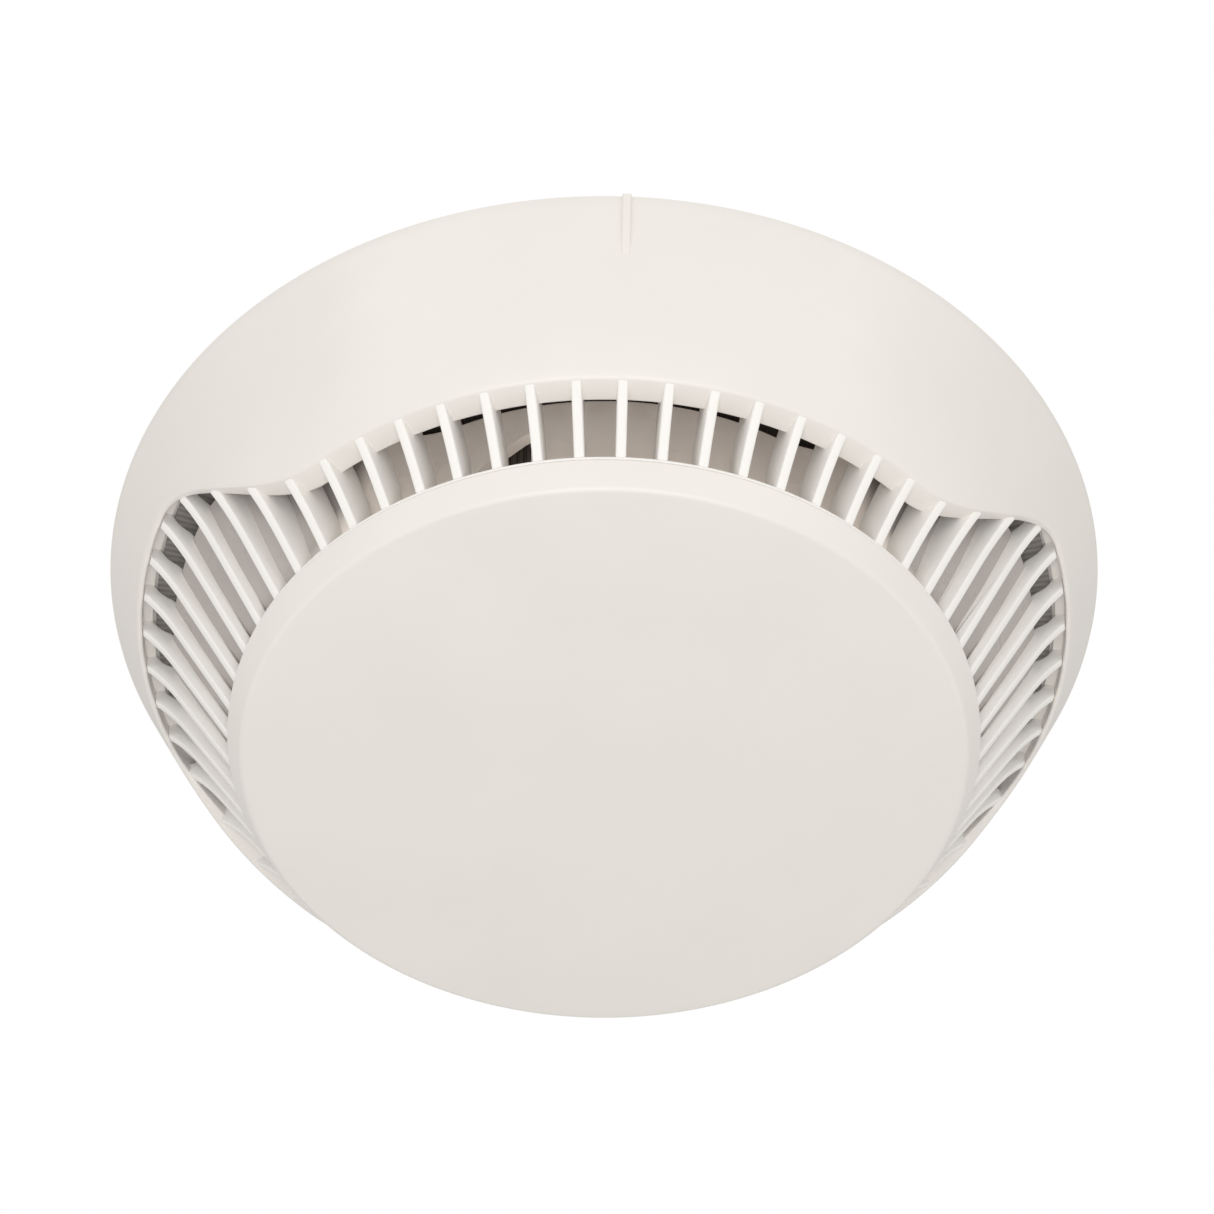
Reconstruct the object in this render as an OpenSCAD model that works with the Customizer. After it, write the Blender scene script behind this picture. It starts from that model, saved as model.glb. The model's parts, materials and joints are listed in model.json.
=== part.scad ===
// Ceiling smoke detector: a vented optical head on a twist-lock base.
// Millimetres, +Z up. The origin is the centre of the base's ceiling face and the head hangs
// below it. Azimuths are counted from -Y, the side with the alignment rib, towards +X.

/* [Head] */
// Radius of the head at its rim
rim_r = 52; // [51.5:0.5:54]
// Gap between the ceiling and the rim
rim_gap = 5; // [5:0.5:6]
// Draft of the straight part of the skirt, degrees from vertical
skirt_draft = 25; // [24:0.5:26]
// Height of the straight part of the skirt
skirt_h = 11; // [10:0.5:12]
// Radius of the curve below the straight part
dome_r = 37.5; // [36:0.5:40]
// Wall of the outer cover
wall = 2; // [1.8:0.1:2.2]
// Depth below the rim where the fins end
vent_d = 23; // [22.5:0.1:23.2]
// Depth of the flat face below the rim, at its edge
face_d = 25.8; // [25.8:0.1:26.8]
// How far the face bulges at its centre
face_crown = 0.6; // [0.2:0.1:1]

/* [Vents] */
// Number of fins round the head
fin_count = 60; // [50:2:60]
// Thickness of a fin
fin_t = 0.95; // [0.8:0.05:1.1]
// Radius of the vent's upper edge at the front and the rear
narrow_r = 43.1; // [42.8:0.05:43.3]
// Radius of the vent's upper edge at both sides
wide_r = 48.4; // [48:0.1:48.8]
// Azimuth where the upper edge starts to rise, from the front or the rear
rise_from = 44; // [42:1:46]
// Azimuth where the upper edge has risen
rise_to = 71; // [68:1:74]
// Width of the ledge behind the narrow part of the vent
ledge_w = 2.5; // [2.3:0.1:2.8]
// How far the fins stand back from the vent's upper edge
fin_inset = 1.5; // [1.2:0.1:1.6]
// Outside radius of the air guide behind the fins
guide_r = 33.8; // [33.6:0.1:33.8]

/* [Base] */
// Outside radius of the base
base_r = 43.5; // [43:0.1:43.8]
// Thickness of the base's floor
floor_t = 2.2; // [2:0.1:2.4]
// Radius of the cable entry
entry_r = 9; // [7:0.5:10]
// Distance between the two fixing slots
slot_pitch = 56; // [54:0.5:58]
// Length of a fixing slot, end to end
slot_len = 10; // [8:0.5:11]
// Half the width of a fixing slot
slot_r = 2.1; // [1.8:0.1:2.3]

/* [Twist lock] */
// Half the angle of a lug on the head
lug_half = 7; // [6:0.5:7]
// Half the angle of a tab on the base
tab_half = 8.5; // [8:0.5:9]
// Turn from locked to open
twist_open = 20; // [20:0.5:24]

/* [Hidden] */

$fn = 96;
white = [0.95, 0.93, 0.91];
black = [0.1, 0.1, 0.1];
brass = [0.82, 0.68, 0.36];
steel = [0.72, 0.72, 0.74];

// Levels, from the ceiling down
z_floor = -floor_t;
z_rim = -rim_gap;
z_flange = z_rim - 5.5;                 // underside of the housing's flange
flange_t = 1.4;
z_flange_top = z_flange + flange_t;
z_cup_top = -6.4;                       // top of the housing's cup
pocket_d = 0.7;                         // depth of the pockets in the ceiling face
cup_t = 1.2;
board_top = -11.4;
board_t = 1.6;
board_bottom = board_top - board_t;
chamber_floor_t = 1.6;
z_chamber = board_bottom - 0.6;         // top of the chamber base's floor
z_chamber_roof = z_chamber - chamber_floor_t;
z_chamber_bottom = z_rim - 22.6;        // underside of the chamber cover
z_vent_end = z_rim - vent_d;
z_cage = z_vent_end + 0.55;             // top of the fins' ring
vent_step = 6.2;                        // depth of the step above the wide vents
boss_end = 14.6;                        // depth where the screw bosses end

// Radii
knee_r = rim_r - skirt_h * tan(skirt_draft);
flange_r = 47;
cup_r = 34.4;
cup_wall = 1.4;
collar_r = 38;
collar_wall = 1.4;
lug_r = 40;
tab_r = 38.5;
base_wall = 1.9;
screen_r = 31.2;
screen_t = 0.3;
chamber_r = 30.4;
board_r = 29.5;
cage_inner_r = 34.6;
cage_r = 38;                            // outside radius of the fins' ring

// Ledges behind the front and rear vents
z_ledge = z_rim - skirt_d(narrow_r);
ledge_t = 1.7;
ledge_half = 47.2;                      // half the angle of a ledge

// Places round the axis
lug_az = [60, 180, 300];
contact_az = [45, 135, 225, 315];
board_screw_az = [15, 138, 270];
board_screw_r = 24;
cover_screw_az = [27, 153, 207, 333];
cover_screw_r = 42.6;
lock_az = lug_az[1] - twist_open / 2;
z_lock = -3.7;
lock_r = 1.25;
lug_z = [-4.9, -3.5];                   // lower and upper level of a lug
tab_z = [-6.6, -5.05];
emitter_az = 200;
receiver_az = 65;
sight_r = 13;                           // distance of both optics from the axis
z_sight = -20.4;                        // level of the optical axes
pipe_az = 180 - 22;
pipe_z = z_flange_top + 0.05;
pipe_w = 2.4;
pipe_h = 1.15;

// Skirt radius at a depth below the rim, and the depth at a radius
function dome_a(d) = asin(sin(skirt_draft) + (d - skirt_h) / dome_r);
function slope(d) = d <= skirt_h ? skirt_draft : dome_a(d);
function skirt_r(d) = d <= skirt_h ? rim_r - d * tan(skirt_draft)
    : knee_r - dome_r * (cos(skirt_draft) - cos(dome_a(d)));
function skirt_d(r) = r >= knee_r ? (rim_r - r) / tan(skirt_draft)
    : skirt_h + dome_r * (sin(acos(cos(skirt_draft) - (knee_r - r) / dome_r)) - sin(skirt_draft));
// A point of the skirt's section, moved inwards by t
function skirt_pt(d, t = 0) = [skirt_r(d) - t * cos(slope(d)), z_rim - d + t * sin(slope(d))];

// Radius of the vent's upper edge at an azimuth
function from_end(a) = min(abs(a % 180), 180 - abs(a % 180));
function ease(t) = t <= 0 ? 0 : t >= 1 ? 1 : t * t * (3 - 2 * t);
function edge_r(a) = narrow_r
    + (wide_r - narrow_r) * ease((from_end(a) - rise_from) / (rise_to - rise_from));
function at(r, a) = [r * sin(a), -r * cos(a)];

// A section drawn as radius and height, as a slab t thick at azimuth a
module slab(a, t) {
    rotate([0, 0, a - 90]) rotate([90, 0, 0]) linear_extrude(height = t, center = true) children();
}

// A section turned through half the angle either side of azimuth a
module sector(a, half) {
    rotate([0, 0, a - 90 - half]) rotate_extrude(angle = 2 * half) children();
}

// A ring with square edges
module ring(r_out, r_in, z_low, z_high) {
    translate([0, 0, z_low]) difference() {
        cylinder(r = r_out, h = z_high - z_low);
        translate([0, 0, -1]) cylinder(r = r_in, h = z_high - z_low + 2);
    }
}

module disc(r, z_low, z_high) {
    translate([0, 0, z_low]) cylinder(r = r, h = z_high - z_low);
}

// A block standing at azimuth a, drawn from radius r_in to r_out and w wide
module block(a, r_in, r_out, w, z_low, z_high) {
    rotate([0, 0, a - 90]) translate([r_in, -w / 2, z_low])
        cube([r_out - r_in, w, z_high - z_low]);
}

// A rod of radius r along the radius at azimuth a
module radial_rod(a, r, r_in, r_out, z) {
    rotate([0, 0, a - 90]) translate([r_in, 0, z]) rotate([0, 90, 0])
        cylinder(r = r, h = r_out - r_in);
}

// ---------------------------------------------------------------- base

module base_plate() {
    color(white) difference() {
        union() {
            disc(base_r, z_floor, 0);
            ring(base_r, base_r - base_wall, -7.3, z_floor + 0.5);
            for (a = lug_az) {
                sector(a, tab_half) translate([tab_r, tab_z[0]])
                    square([base_r - base_wall + 0.5 - tab_r, tab_z[1] - tab_z[0]]);
                sector(a + tab_half + 1.2, 1.3) translate([tab_r + 0.3, tab_z[0] - 0.3])
                    square([base_r - base_wall + 0.1 - tab_r, z_floor + 0.8 - tab_z[0]]);
            }
            block(lock_az, 40.6, base_r - 0.6, 5, -5.5, z_floor + 0.5);
            for (a = contact_az) block(a, 15.5, 27, 9, z_floor - 0.4, z_floor + 0.5);
        }
        for (a = [15:30:345]) sector(a, 11) translate([12.5, -pocket_d]) square([27.5, 1]);
        translate([0, 0, z_floor - 1]) cylinder(r = entry_r, h = floor_t + 2);
        for (side = [-1, 1]) translate([side * slot_pitch / 2, 0, z_floor - 1]) fixing_slot();
        for (a = contact_az) rotate([0, 0, a]) translate([0, -22, z_floor - 1])
            cylinder(r = 1.5, h = floor_t);
        radial_rod(lock_az, lock_r + 0.05, 39, base_r + 1, z_lock);
    }
}

module fixing_slot() {
    straight = slot_len / 2 - slot_r;
    for (side = [-1, 1]) translate([side * straight, 0, 0]) cylinder(r = slot_r, h = floor_t + 2);
    translate([-straight, -slot_r, 0]) cube([2 * straight, 2 * slot_r, floor_t + 2]);
}

// Brass leaf: a flat tail under the terminal and a bowed tongue towards the head's contact
module contact_spring(a) {
    z0 = z_floor - 0.4;
    t = 0.4;
    color(brass) difference() {
        slab(a, 6) polygon([[17, z0], [27.4, z0], [31.2, z0 - 3.0], [33, z0 - 2.2],
            [33.2, z0 - 2.6], [31.2, z0 - 3.32], [27.2, z0 - t], [17, z0 - t]]);
        rotate([0, 0, a]) translate([0, -22, z0 - 2]) cylinder(r = 1.6, h = 3);
    }
}

module terminal_clamps() {
    color(steel) for (a = contact_az) difference() {
        block(a, 18.5, 25.5, 7.4, z_floor - 1.7, z_floor - 0.85);
        rotate([0, 0, a]) translate([0, -22, z_floor - 2]) cylinder(r = 1.6, h = 2);
    }
}

module terminal_screws() {
    color(steel) for (a = contact_az) rotate([0, 0, a]) translate([0, -22, 0]) difference() {
        union() {
            translate([0, 0, z_floor - 3.2]) cylinder(r = 2.8, h = 1.45);
            translate([0, 0, z_floor - 2]) cylinder(r = 1.45, h = 3);
        }
        translate([-2.2, -0.35, z_floor - 3.4]) cube([4.4, 0.7, 0.9]);
        translate([-0.35, -2.2, z_floor - 3.4]) cube([0.7, 4.4, 0.9]);
    }
}

// Grub screw, shown backed out; its tip blocks a lug's path when it is driven in
module lock_screw() {
    color(steel) difference() {
        union() {
            radial_rod(lock_az, lock_r, 40.9, 45.2, z_lock);
            radial_rod(lock_az, lock_r - 0.35, 40.4, 41.2, z_lock);
        }
        rotate([0, 0, lock_az - 90]) translate([43.4, 0, z_lock]) rotate([0, 90, 0])
            cylinder(r = 0.75, h = 3, $fn = 6);
    }
}

// ---------------------------------------------------------------- head: outside

module outer_cover() {
    color(white) difference() {
        union() {
            difference() {
                rotate_extrude() polygon(concat(
                    [for (i = [0:1]) skirt_pt(i * skirt_h)],
                    [for (d = [skirt_h + 1.5:1.5:skirt_h + 7.5]) skirt_pt(d)],
                    [for (d = [skirt_h + 7.5:-1.5:skirt_h + 1.5]) skirt_pt(d, wall)],
                    [skirt_pt(skirt_h, wall), [skirt_r(0) - wall / cos(skirt_draft), z_rim]]));
                translate([0, 0, z_rim - 25]) linear_extrude(height = 25 - vent_step)
                    polygon([for (a = [0:3:357]) at(edge_r(a), a)]);
            }
            for (a = [0, 180]) sector(a, ledge_half) ledge_section();
            slab(0, 0.9) polygon([skirt_pt(0, 0.6), skirt_pt(0, -0.35), skirt_pt(4.6, -0.3),
                skirt_pt(5.6, 0.1), skirt_pt(5.6, 0.6)]);
            for (a = cover_screw_az) intersection() {
                rotate([0, 0, a]) translate([0, -cover_screw_r, z_rim - boss_end])
                    cylinder(r = 2.6, h = boss_end + z_flange - z_rim);
                rotate_extrude() polygon([[36, z_flange], skirt_pt(5.5, 0.6), skirt_pt(11, 0.6),
                    skirt_pt(boss_end, 0.6), [36, z_rim - boss_end]]);
            }
        }
        for (a = cover_screw_az) rotate([0, 0, a]) translate([0, -cover_screw_r, z_flange - 4.6])
            cylinder(r = 1.1, h = 6);
        block(pipe_az, 45, 53, pipe_w + 0.2, pipe_z - 0.1, pipe_z + pipe_h + 0.1);
    }
}

module ledge_section() {
    polygon([[narrow_r - ledge_w, z_ledge], [narrow_r - 0.05, z_ledge],
        [narrow_r + 0.55, z_ledge + 0.9], [narrow_r + 0.55, z_ledge + ledge_t],
        [narrow_r - ledge_w, z_ledge + ledge_t]]);
}

// The fins and the ring that they stand on; their tops meet the ledges and the wide vents' edges
module fin_cage() {
    color(white) difference() {
        union() {
            rotate_extrude() polygon([[33, z_vent_end + 0.05], [cage_r, z_vent_end + 0.05],
                [cage_r - 0.1, z_cage - 0.1], [cage_r - 0.2, z_cage], [33, z_cage]]);
            for (i = [0:fin_count - 1]) let (a = i * 360 / fin_count)
                slab(a, fin_t) polygon(from_end(a) <= ledge_half ? ledge_fin() : edge_fin(a));
        }
        translate([0, 0, z_vent_end - 1]) linear_extrude(height = 3)
            polygon([for (i = [0:fin_count - 1])
                at(cage_inner_r / cos(180 / fin_count), (i + 0.5) * 360 / fin_count)]);
    }
}

// Where a fin stands in the ring, outer side first
function fin_foot() = [[cage_r - 0.45, z_cage - 0.3], [cage_r - 2.2, z_cage - 0.3]];

// A fin below a ledge: a nib runs out to the vent's edge and the inner end rises behind the ledge
function ledge_fin() = let (top = z_ledge - 0.02, behind = narrow_r - ledge_w - 0.05)
    concat([[narrow_r - 0.1, top], [narrow_r - 0.4, top - 0.4], [narrow_r - fin_inset, top - 0.5]],
        fin_foot(), [[36.4, z_ledge - 1.2], [39.2, z_ledge + 2.6], [behind, z_ledge + 2.6],
        [behind, top]]);

// A fin of the wide vents: a bar that curves out to the vent's edge at its top
function edge_fin(a) =
    let (r = min(edge_r(a - 0.8), edge_r(a + 0.8)), z = z_rim - skirt_d(r), bend_r = 3.8, bend_h = 2.1)
    concat([[r - 0.1, z + 1.4], [r - 0.1, z + 0.2], [r - fin_inset, z - 0.3]], fin_foot(),
        [for (q = [90:-15:15])
            [r - 0.1 - bend_r * (1 - cos(q)), z + 1.4 - bend_h * sin(q)]]);

module face_cap() {
    side_r = 36.7;
    flat_r = side_r - 0.8;
    z_edge = z_rim - face_d;
    color(white) rotate_extrude() polygon(concat(
        [[33.95, z_vent_end + 0.7], [34.5, z_vent_end + 0.7], [34.5, z_vent_end],
         [cage_r, z_vent_end], [side_r, z_edge + 0.8], [side_r - 0.25, z_edge + 0.25],
         [flat_r, z_edge]],
        [for (i = [1:5]) [flat_r * cos(i * 15), z_edge - face_crown * pow(sin(i * 15), 2)]],
        [[0, z_edge - face_crown], [0, z_edge - face_crown + 1.5], [33.95, z_edge + 1.5]]));
}

// Wall behind the fins, with a slant-topped notch near the front; it flares out in the wide vents
module air_guide() {
    z_top = z_rim - 8.6;
    z_low = z_rim - face_d + 1.6;
    color(white) difference() {
        union() {
            ring(guide_r, guide_r - 1.2, z_low, z_top);
            for (a = [90, 270]) sector(a, 33) polygon([[33.2, z_cage + 0.25], [35.6, z_cage + 0.25],
                [43.6, z_rim - 9.4], [42.3, z_rim - 9.2], [34.5, z_cage + 1.6], [33.2, z_cage + 1.6]]);
        }
        rotate([0, 0, -17]) translate([0, -guide_r + 4, z_rim - 19.6]) rotate([90, 0, 0])
            linear_extrude(height = 8) polygon([[-4.2, 0], [1.5, 0], [1.5, 6.2], [1.1, 6.5],
                [-4.2, 2.4]]);
        for (a = [60, 120, 240, 300]) block(a, 30, 36, 5, z_top - 2.2, z_top + 1);
    }
}

module insect_screen() {
    color([0.25, 0.25, 0.25]) difference() {
        union() {
            ring(screen_r + screen_t, screen_r, z_rim - 22.4, z_flange - 0.05);
            ring(46.6, screen_r, z_flange - 0.35, z_flange - 0.05);
        }
        for (a = cover_screw_az) rotate([0, 0, a]) translate([0, -cover_screw_r, z_flange - 1])
            cylinder(r = 2.9, h = 2);
    }
}

// ---------------------------------------------------------------- head: optical chamber

module chamber_cover() {
    vane_count = 24;
    color(black) union() {
        disc(chamber_r - 0.2, z_chamber_bottom, z_chamber_bottom + 1.4);
        for (i = [0:vane_count - 1]) rotate([0, 0, i * 360 / vane_count])
            translate([0, -chamber_r + 0.9, z_chamber_bottom + 1]) {
                rotate([0, 0, 40]) translate([-0.45, 0, 0])
                    cube([0.9, 4.6, z_chamber_roof - z_chamber_bottom - 1.1]);
                translate([-3.1, 3.5, 0]) rotate([0, 0, -35]) translate([-0.45, 0, 0])
                    cube([0.9, 3, z_chamber_roof - z_chamber_bottom - 1.1]);
            }
    }
}

module chamber_base() {
    color(black) difference() {
        union() {
            disc(chamber_r, z_chamber_roof, z_chamber);
            ring(chamber_r, chamber_r - 0.7, z_chamber_roof, z_flange - 0.4);
            for (a = board_screw_az) rotate([0, 0, a]) translate([0, -board_screw_r, 0])
                disc(2.6, z_chamber_roof, board_bottom);
            block(emitter_az, sight_r - 2.5, sight_r + 6.5, 6.4, z_sight - 3, z_chamber_roof + 0.5);
            block(receiver_az, sight_r - 2.5, sight_r + 6, 8, z_sight - 3.4, z_chamber_roof + 0.5);
        }
        radial_rod(emitter_az, 1.55, sight_r - 0.2, sight_r + 8, z_sight);
        radial_rod(emitter_az, 0.9, sight_r - 4, sight_r + 1, z_sight);
        block(emitter_az, sight_r + 4.2, sight_r + 5.6, 3.4, z_sight, board_bottom + 1);
        radial_rod(receiver_az, 2.05, sight_r - 1, sight_r + 2, z_sight);
        radial_rod(receiver_az, 1.2, sight_r - 4, sight_r + 2, z_sight);
        block(receiver_az, sight_r + 1.9, sight_r + 8, 5.2, z_sight - 2.6, z_sight + 2.6);
        block(receiver_az, sight_r + 2.4, sight_r + 3.8, 3.4, z_sight, board_bottom + 1);
        for (a = board_screw_az) rotate([0, 0, a]) translate([0, -board_screw_r, z_chamber_roof + 0.2])
            cylinder(r = 1.05, h = 8);
    }
}

module ir_led() {
    color([0.35, 0.4, 0.75, 0.8]) union() {
        radial_rod(emitter_az, 1.5, sight_r, sight_r + 4, z_sight);
        radial_rod(emitter_az, 1.9, sight_r + 6.6, sight_r + 7.4, z_sight);
        radial_rod(emitter_az, 1.5, sight_r + 4, sight_r + 7, z_sight);
    }
    color(steel) for (side = [-0.9, 0.9]) rotate([0, 0, emitter_az - 90])
        translate([sight_r + 4.7, side - 0.2, z_sight + 0.6]) cube([0.45, 0.4, board_top - z_sight]);
}

module photodiode() {
    color([0.15, 0.1, 0.12]) block(receiver_az, sight_r + 2, sight_r + 4.2, 4.8, z_sight - 2.3,
        z_sight + 2.3);
    color(steel) for (side = [-0.9, 0.9]) rotate([0, 0, receiver_az - 90])
        translate([sight_r + 2.8, side - 0.2, z_sight + 2]) cube([0.45, 0.4, board_top - z_sight - 1.4]);
}

module receiver_lens() {
    color([0.85, 0.9, 0.95, 0.5]) intersection() {
        radial_rod(receiver_az, 2, sight_r - 0.9, sight_r + 1.9, z_sight);
        rotate([0, 0, receiver_az - 90]) translate([sight_r + 3.1, 0, z_sight]) sphere(r = 4);
    }
}

// ---------------------------------------------------------------- head: rear housing

module rear_housing() {
    color(white) difference() {
        union() {
            ring(flange_r, cup_r - 0.5, z_flange, z_flange_top);
            ring(cup_r, cup_r - cup_wall, z_flange, z_cup_top - 0.3);
            disc(cup_r, z_cup_top - cup_t, z_cup_top);
            ring(collar_r, collar_r - collar_wall, z_flange_top - 0.4, -3.4);
            for (a = lug_az) sector(a, lug_half) translate([collar_r - 0.5, lug_z[0]])
                square([lug_r - collar_r + 0.5, lug_z[1] - lug_z[0]]);
            for (a = board_screw_az) rotate([0, 0, a]) translate([0, -board_screw_r, 0])
                disc(3.1, board_top, z_cup_top - 0.3);
            for (a = [0:30:330]) block(a, cup_r - 0.3, collar_r - 0.7, 1.2, z_flange_top - 0.3, -7.6);
        }
        for (a = board_screw_az) rotate([0, 0, a]) translate([0, -board_screw_r, 0]) {
            translate([0, 0, board_top + 1.2]) cylinder(r = 2.3, h = 6);
            translate([0, 0, board_top - 1]) cylinder(r = 1.25, h = 4);
        }
        for (a = cover_screw_az) rotate([0, 0, a]) translate([0, -cover_screw_r, z_flange - 1])
            cylinder(r = 1.4, h = flange_t + 2);
        for (a = contact_az) block(a, 28.6, 29.8, 1.8, z_cup_top - cup_t - 1, z_cup_top + 1);
        block(pipe_az, 26.5, 39, pipe_w + 0.3, pipe_z - 0.15, pipe_z + pipe_h + 0.15);
    }
}

// Brass blade lying on the cup, with a leg down to the circuit board
module contact_blade(a) {
    color(brass) union() {
        block(a, 28.4, 32.6, 7, z_cup_top + 0.02, z_cup_top + 0.42);
        block(a, 28.9, 29.45, 1.4, board_top + 0.02, z_cup_top + 0.3);
    }
}

module circuit_board() {
    color([0.1, 0.42, 0.22]) difference() {
        disc(board_r, board_bottom, board_top);
        for (a = board_screw_az) rotate([0, 0, a]) translate([0, -board_screw_r, board_bottom - 1])
            cylinder(r = 1.4, h = board_t + 2);
        block(emitter_az, sight_r + 4.3, sight_r + 5.5, 3.2, board_bottom - 1, board_top + 1);
        block(receiver_az, sight_r + 2.5, sight_r + 3.7, 3.2, board_bottom - 1, board_top + 1);
        translate([0, board_r + 0.6, board_bottom - 1]) cylinder(r = 2.2, h = board_t + 2);
    }
}

// A component standing on the board, centred at x and y
module on_board(x, y, turn = 0) {
    translate([x, y, board_top]) rotate([0, 0, turn]) children();
}

module chip(w, l, h, legs) {
    color([0.12, 0.12, 0.13]) translate([-w / 2, -l / 2, 0.25]) cube([w, l, h]);
    color(steel) for (side = [-1, 1]) for (i = [0:legs - 1])
        translate([side * (w / 2 + 0.35) - 0.5, (i - (legs - 1) / 2) * 1.27 - 0.2, 0.02])
            cube([1, 0.4, 0.7]);
}

module microcontroller() { on_board(2, -3, 90) chip(5.2, 9.6, 1.6, 7); }

module signal_amplifier() { on_board(9.5, 8.5) chip(3.8, 5, 1.4, 4); }

module bridge_rectifier() { on_board(-18, 4.5, 90) chip(3.8, 4.6, 1.5, 2); }

module smoothing_capacitors() {
    for (p = [[-13, 11], [-12, 18]]) on_board(p[0], p[1]) {
        color([0.15, 0.15, 0.17]) translate([-2.7, -2.7, 0.02]) cube([5.4, 5.4, 0.7]);
        color(steel) translate([0, 0, 0.6]) cylinder(r = 2.5, h = 2.9);
    }
}

module ceramic_capacitors() {
    color([0.72, 0.6, 0.45]) for (p = [[11, -3], [11, 0], [-5, 4], [-2, 6.5], [14.5, 12], [-12, -2]])
        on_board(p[0], p[1]) translate([-1, -0.6, 0.02]) cube([2, 1.25, 1]);
}

module resistors() {
    color([0.1, 0.1, 0.1]) for (i = [0:4]) {
        on_board(-8 + 3.4 * i, -10.5) translate([-1, -0.6, 0.02]) cube([2, 1.25, 0.55]);
        on_board(-14 + 3.2 * i, -15) translate([-1, -0.6, 0.02]) cube([2, 1.25, 0.55]);
    }
}

module shield_can() {
    color(steel) on_board(17, 3, 8) difference() {
        translate([-3.5, -4.5, 0.02]) cube([7, 9, 2.8]);
        translate([-3.25, -4.25, -0.5]) cube([6.5, 8.5, 3.05]);
    }
}

module reed_switch() {
    on_board(-1, 22) {
        color([0.6, 0.75, 0.65, 0.5]) translate([-5, 0, 1.1]) rotate([0, 90, 0])
            cylinder(r = 1, h = 10);
        color(steel) for (side = [-1, 1]) {
            translate([side * 6 - 1.1, -0.25, 0.85]) cube([2.2, 0.5, 0.5]);
            translate([side * 7 - 0.25, -0.25, 0.02]) cube([0.5, 0.5, 1.3]);
        }
    }
}

module alarm_led() {
    rotate([0, 0, pipe_az]) translate([0, -24.6, board_top]) {
        color([0.9, 0.9, 0.85]) translate([-1.4, -0.9, 0.02]) cube([2.8, 1.8, 1.1]);
        color([0.85, 0.15, 0.12]) translate([-1, -0.7, 1.05]) cube([2, 1.4, 2.2]);
    }
}

// Clear bar from the alarm LED to a window in the skirt
module light_pipe() {
    color([0.9, 0.93, 0.95, 0.5]) intersection() {
        block(pipe_az, 26.7, 53, pipe_w, pipe_z, pipe_z + pipe_h);
        rotate_extrude() polygon([[0, z_rim], skirt_pt(0, 0.05), skirt_pt(8, 0.05), [0, z_rim - 8]]);
    }
}

module board_screws() {
    color(steel) for (a = board_screw_az) rotate([0, 0, a]) translate([0, -board_screw_r, 0])
        difference() {
            union() {
                translate([0, 0, board_top + 1.22]) cylinder(r = 2.1, h = 1.5);
                translate([0, 0, z_chamber_roof + 0.3])
                    cylinder(r = 1, h = board_top + 1.2 - z_chamber_roof);
            }
            translate([-1.4, -0.3, board_top + 2]) cube([2.8, 0.6, 1]);
            translate([-0.3, -1.4, board_top + 2]) cube([0.6, 2.8, 1]);
        }
}

module cover_screws() {
    color(steel) for (a = cover_screw_az) rotate([0, 0, a]) translate([0, -cover_screw_r, 0])
        difference() {
            union() {
                translate([0, 0, z_flange_top + 0.02]) cylinder(r = 2.2, h = 1.3);
                translate([0, 0, z_flange - 4.2]) cylinder(r = 1.05, h = flange_t + 4.5);
            }
            translate([-1.4, -0.3, z_flange_top + 0.6]) cube([2.8, 0.6, 1]);
            translate([-0.3, -1.4, z_flange_top + 0.6]) cube([0.6, 2.8, 1]);
        }
}

base_plate();
contact_spring(contact_az[0]);  // contact_spring_a
contact_spring(contact_az[1]);  // contact_spring_b
contact_spring(contact_az[2]);  // contact_spring_c
contact_spring(contact_az[3]);  // contact_spring_d
terminal_clamps();
terminal_screws();
lock_screw();
outer_cover();
fin_cage();
face_cap();
air_guide();
insect_screen();
chamber_cover();
chamber_base();
ir_led();
photodiode();
receiver_lens();
rear_housing();
circuit_board();
microcontroller();
signal_amplifier();
smoothing_capacitors();
ceramic_capacitors();
resistors();
bridge_rectifier();
shield_can();
reed_switch();
alarm_led();
light_pipe();
contact_blade(contact_az[0]);  // contact_blade_a
contact_blade(contact_az[1]);  // contact_blade_b
contact_blade(contact_az[2]);  // contact_blade_c
contact_blade(contact_az[3]);  // contact_blade_d
board_screws();
cover_screws();
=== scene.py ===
"""Looks of the ceiling smoke detector: moulded shells, fins, screen, materials, light and camera.

Metres, in the frame of the CAD model: +Z up into the ceiling, the head hangs below, and azimuths
are counted from -Y (the side with the alignment rib) towards +X.
"""

import json
import math

import bmesh
import bpy
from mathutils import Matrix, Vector


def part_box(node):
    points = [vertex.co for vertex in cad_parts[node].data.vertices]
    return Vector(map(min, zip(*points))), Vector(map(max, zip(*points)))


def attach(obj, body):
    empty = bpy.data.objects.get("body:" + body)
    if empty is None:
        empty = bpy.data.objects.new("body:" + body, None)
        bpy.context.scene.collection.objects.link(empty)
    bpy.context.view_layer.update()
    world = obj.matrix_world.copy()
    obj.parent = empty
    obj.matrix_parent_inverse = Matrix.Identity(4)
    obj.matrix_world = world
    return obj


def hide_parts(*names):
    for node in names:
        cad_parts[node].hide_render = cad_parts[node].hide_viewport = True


MM = 0.001
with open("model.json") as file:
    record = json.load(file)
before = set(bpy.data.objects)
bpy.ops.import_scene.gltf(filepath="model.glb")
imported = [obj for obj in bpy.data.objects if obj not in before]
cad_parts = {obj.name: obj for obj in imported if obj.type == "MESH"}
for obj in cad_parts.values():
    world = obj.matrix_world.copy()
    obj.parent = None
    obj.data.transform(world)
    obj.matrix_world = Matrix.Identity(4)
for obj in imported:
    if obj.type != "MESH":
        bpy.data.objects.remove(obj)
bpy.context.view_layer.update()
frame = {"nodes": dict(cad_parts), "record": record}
nodes = frame["nodes"]

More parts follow.
